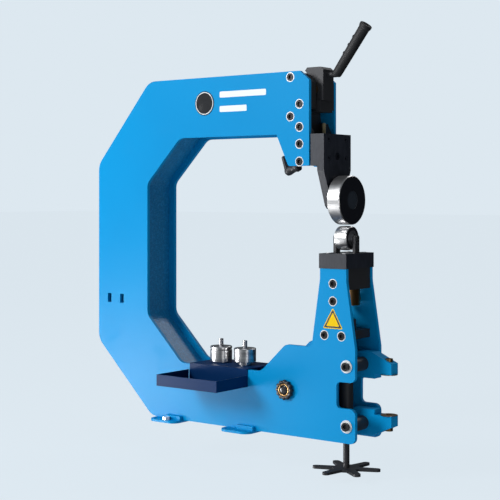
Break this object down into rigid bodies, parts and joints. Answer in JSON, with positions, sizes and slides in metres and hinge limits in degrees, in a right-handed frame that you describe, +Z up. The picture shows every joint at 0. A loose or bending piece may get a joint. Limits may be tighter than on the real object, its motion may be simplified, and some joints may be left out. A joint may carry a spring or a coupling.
{
  "type": "english wheel",
  "caption": "C-frame sheet-metal wheeling machine: cam-lifted large upper wheel over a screw-lifted small lower wheel, with tool tray, spare rollers and bolt-down feet.",
  "frame": {"origin": "centre of the four foot bolt holes, on the underside of the feet, in the middle plane between the side plates", "axes": "+X from the back column towards the mouth and the wheels, +Y towards the left side plate, +Z up"},
  "size_m": [0.7555, 0.2345, 0.9138],
  "materials": {
    "azure_paint": "smooth azure powder coat, semi-gloss",
    "navy_paint": "dark navy wrinkle powder coat",
    "black_oxide": "satin black oxide on machined steel",
    "ground_steel": "bright ground and lightly turned steel",
    "dark_steel": "darker machined steel",
    "bronze": "machined bearing bronze",
    "zinc_steel": "bright zinc plate",
    "black_rubber": "matt black ribbed rubber",
    "black_plastic": "moulded black plastic"
  },
  "bodies": {
    "frame": {"right_side_plate": "azure_paint", "left_side_plate": "azure_paint", "throat_liner": "navy_paint", "shoulder_web": "navy_paint", "outer_skin": "azure_paint", "rear_foot": "azure_paint", "front_foot": "azure_paint", "levelling_screws": "zinc_steel", "tower_cap": "black_oxide", "cap_screws": "zinc_steel", "ram_guide_block": "black_oxide", "ram_bush": "bronze", "nut_block": "black_oxide", "spindle_nut": "bronze", "spindle_tube": "black_oxide", "tower_screws": "black_oxide", "jaw_screws": "black_oxide", "screw_washers": "zinc_steel", "hinge_arms": "azure_paint", "arm_bushes": "bronze", "arm_spacers": "black_oxide", "arm_bolts": "black_oxide", "cam_bearing_blocks": "black_oxide", "cam_pin": "ground_steel", "cam_thrust_washers": "bronze", "guide_back_block": "black_oxide", "guide_rails": "black_oxide", "return_springs": "dark_steel", "tool_tray": "navy_paint", "badge": "black_plastic"},
    "cam_lever": {"cam_lever_hub": "black_oxide", "lever_rod": "dark_steel", "lever_grip": "black_rubber", "grip_end_plug": "bronze"},
    "upper_ram": {"upper_ram": "black_oxide", "slide_block": "black_oxide", "wheel_bracket": "black_oxide", "bracket_screws": "black_oxide", "ram_bolt": "black_oxide", "height_stud": "bronze", "upper_axle": "ground_steel"},
    "upper_wheel": {"upper_wheel": "ground_steel", "upper_wheel_bearings": "dark_steel", "upper_hub_cap": "black_oxide"},
    "lower_ram": {"lower_ram": "ground_steel", "fork_legs": "black_oxide", "fork_screws": "zinc_steel", "lower_axle": "ground_steel", "thrust_ball": "dark_steel"},
    "lower_wheel": {"lower_wheel": "ground_steel", "lower_wheel_bearings": "dark_steel"},
    "spindle": {"spindle": "black_oxide", "star_wheel": "black_oxide"},
    "clamp_lever": {"clamp_lever": "black_oxide"},
    "star_knob": {"star_knob": "black_plastic"},
    "crowned_roller": {"crowned_roller": "ground_steel", "crowned_roller_axle": "dark_steel"},
    "flat_roller": {"flat_roller": "ground_steel", "flat_roller_axle": "dark_steel"}
  },
  "joints": [
    {"name": "cam_lever_swing", "type": "hinge", "parent": "frame", "child": "cam_lever", "pos_m": [0.29, 0, 0.718], "axis": [0, 1, 0], "range_deg": [-75, 0]},
    {"name": "upper_ram_slide", "type": "slide", "parent": "frame", "child": "upper_ram", "axis": [0, 0, 1], "range_m": [0, 0.008], "deforming": ["return_springs"]},
    {"name": "upper_wheel_spin", "type": "hinge", "parent": "upper_ram", "child": "upper_wheel", "pos_m": [0.359, 0, 0.4899], "axis": [1, 0, 0], "continuous": true},
    {"name": "lower_ram_slide", "type": "slide", "parent": "frame", "child": "lower_ram", "axis": [0, 0, 1], "range_m": [-0.012, 0.002]},
    {"name": "lower_wheel_spin", "type": "hinge", "parent": "lower_ram", "child": "lower_wheel", "pos_m": [0.359, 0, 0.4125], "axis": [1, 0, 0], "continuous": true},
    {"name": "spindle_turn", "type": "hinge", "parent": "lower_ram", "child": "spindle", "pos_m": [0.359, 0, -0.055], "axis": [0, 0, 1], "range_deg": [-1080, 180]},
    {"name": "clamp_lever_turn", "type": "hinge", "parent": "frame", "child": "clamp_lever", "pos_m": [0.252, 0, 0.568], "axis": [-0.907, 0, -0.421], "range_deg": [-45, 45]},
    {"name": "star_knob_turn", "type": "hinge", "parent": "frame", "child": "star_knob", "pos_m": [0.243, -0.05, 0.0986], "axis": [0, -1, 0], "continuous": true},
    {"name": "crowned_roller_lift", "type": "slide", "parent": "frame", "child": "crowned_roller", "axis": [0, 0, 1], "range_m": [0, 0.06]},
    {"name": "flat_roller_lift", "type": "slide", "parent": "frame", "child": "flat_roller", "axis": [0, 0, 1], "range_m": [0, 0.06]}
  ],
  "couplings": [
    {"joint": "upper_ram_slide", "follows": "cam_lever_swing", "m_per_rad": -0.0061},
    {"joint": "lower_ram_slide", "follows": "spindle_turn", "m_per_rad": 0.00063662}
  ]
}
